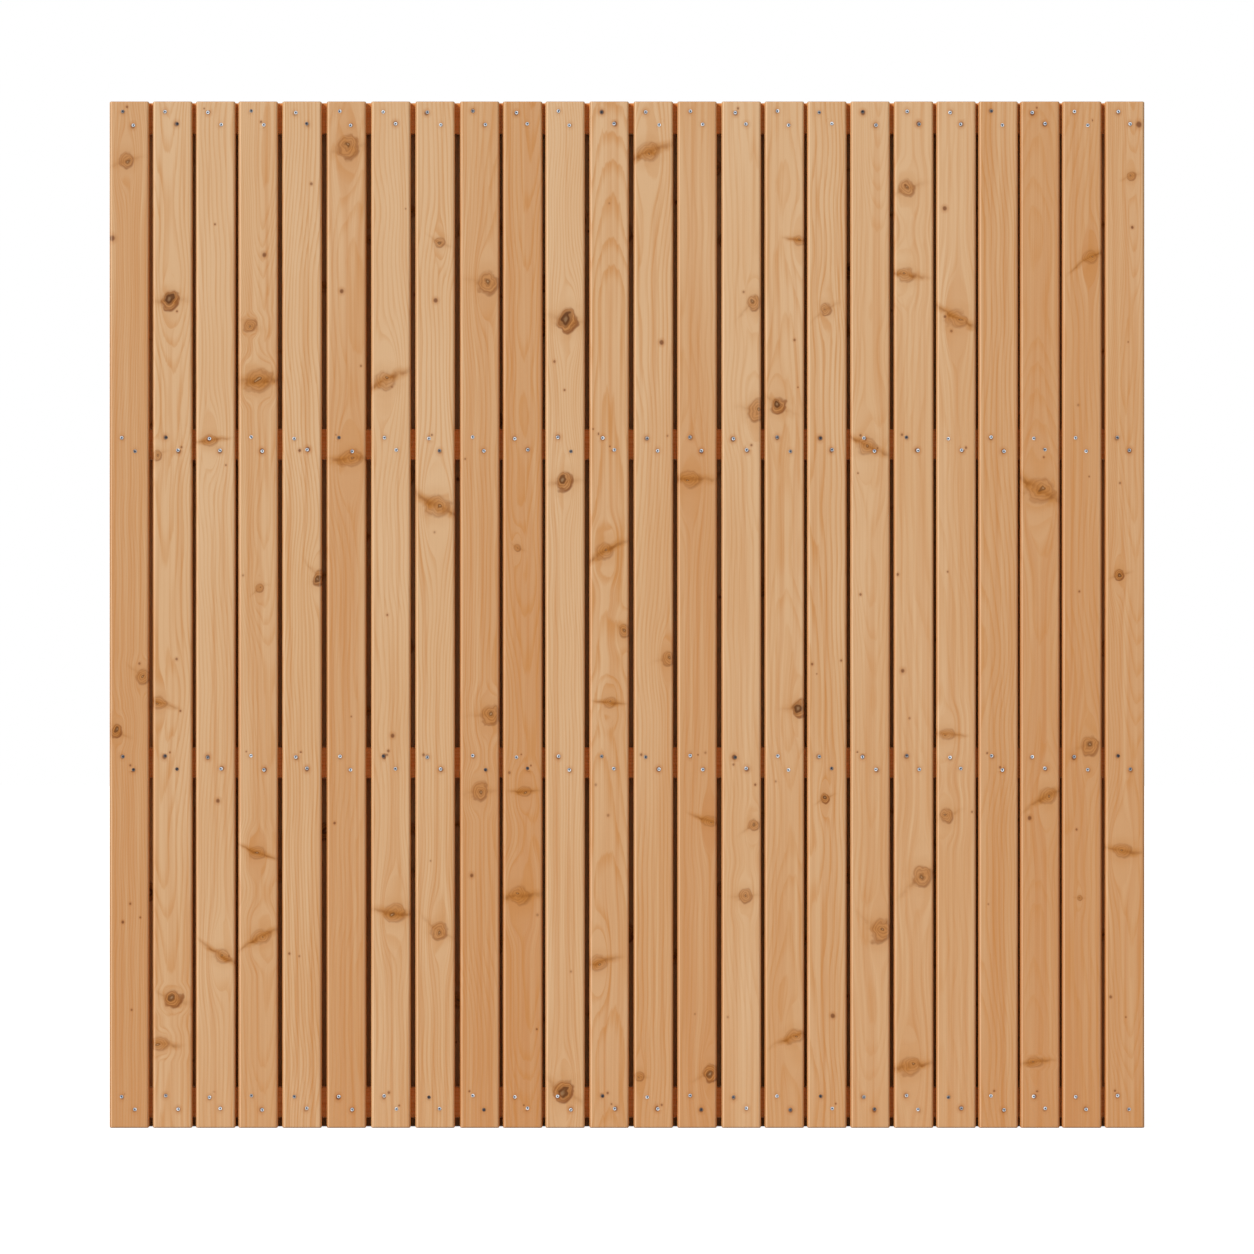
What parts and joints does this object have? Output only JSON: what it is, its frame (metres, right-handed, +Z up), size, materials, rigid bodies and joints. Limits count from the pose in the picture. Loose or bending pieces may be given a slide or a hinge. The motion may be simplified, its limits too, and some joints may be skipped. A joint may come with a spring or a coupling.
{
  "type": "fence panel",
  "caption": "Square double-sided wooden fence panel: upright softwood slats nailed to the front and back of four cross rails, the back slats covering the gaps.",
  "frame": {"origin": "on the ground, under the middle of the panel's width and thickness", "axes": "+Z up along the slats, +X to the right along the rails as seen from the front, the front faces -Y"},
  "size_m": [1.7996, 0.0606, 1.785],
  "materials": {
    "slat_wood": "planed and bare",
    "pale_slat_wood": "planed and bare",
    "red_slat_wood": "planed and bare",
    "rail_wood": "sawn and bare",
    "nail_steel": "bright zinc"
  },
  "bodies": {
    "root": {"front_slat_01": "slat_wood", "front_slat_02": "pale_slat_wood", "front_slat_03": "slat_wood", "front_slat_04": "slat_wood", "front_slat_05": "pale_slat_wood", "front_slat_06": "red_slat_wood", "front_slat_07": "pale_slat_wood", "front_slat_08": "pale_slat_wood", "front_slat_09": "red_slat_wood", "front_slat_10": "red_slat_wood", "front_slat_11": "pale_slat_wood", "front_slat_12": "slat_wood", "front_slat_13": "slat_wood", "front_slat_14": "red_slat_wood", "front_slat_15": "pale_slat_wood", "front_slat_16": "pale_slat_wood", "front_slat_17": "slat_wood", "front_slat_18": "slat_wood", "front_slat_19": "pale_slat_wood", "front_slat_20": "pale_slat_wood", "front_slat_21": "red_slat_wood", "front_slat_22": "red_slat_wood", "front_slat_23": "red_slat_wood", "front_slat_24": "pale_slat_wood", "back_slat_01": "slat_wood", "back_slat_02": "slat_wood", "back_slat_03": "slat_wood", "back_slat_04": "slat_wood", "back_slat_05": "slat_wood", "back_slat_06": "slat_wood", "back_slat_07": "slat_wood", "back_slat_08": "slat_wood", "back_slat_09": "slat_wood", "back_slat_10": "slat_wood", "back_slat_11": "slat_wood", "back_slat_12": "slat_wood", "back_slat_13": "slat_wood", "back_slat_14": "slat_wood", "back_slat_15": "slat_wood", "back_slat_16": "slat_wood", "back_slat_17": "slat_wood", "back_slat_18": "slat_wood", "back_slat_19": "slat_wood", "back_slat_20": "slat_wood", "back_slat_21": "slat_wood", "back_slat_22": "slat_wood", "back_slat_23": "slat_wood", "top_rail": "rail_wood", "upper_rail": "rail_wood", "lower_rail": "rail_wood", "bottom_rail": "rail_wood", "front_nails": "nail_steel", "back_nails": "nail_steel"}
  },
  "joints": []
}
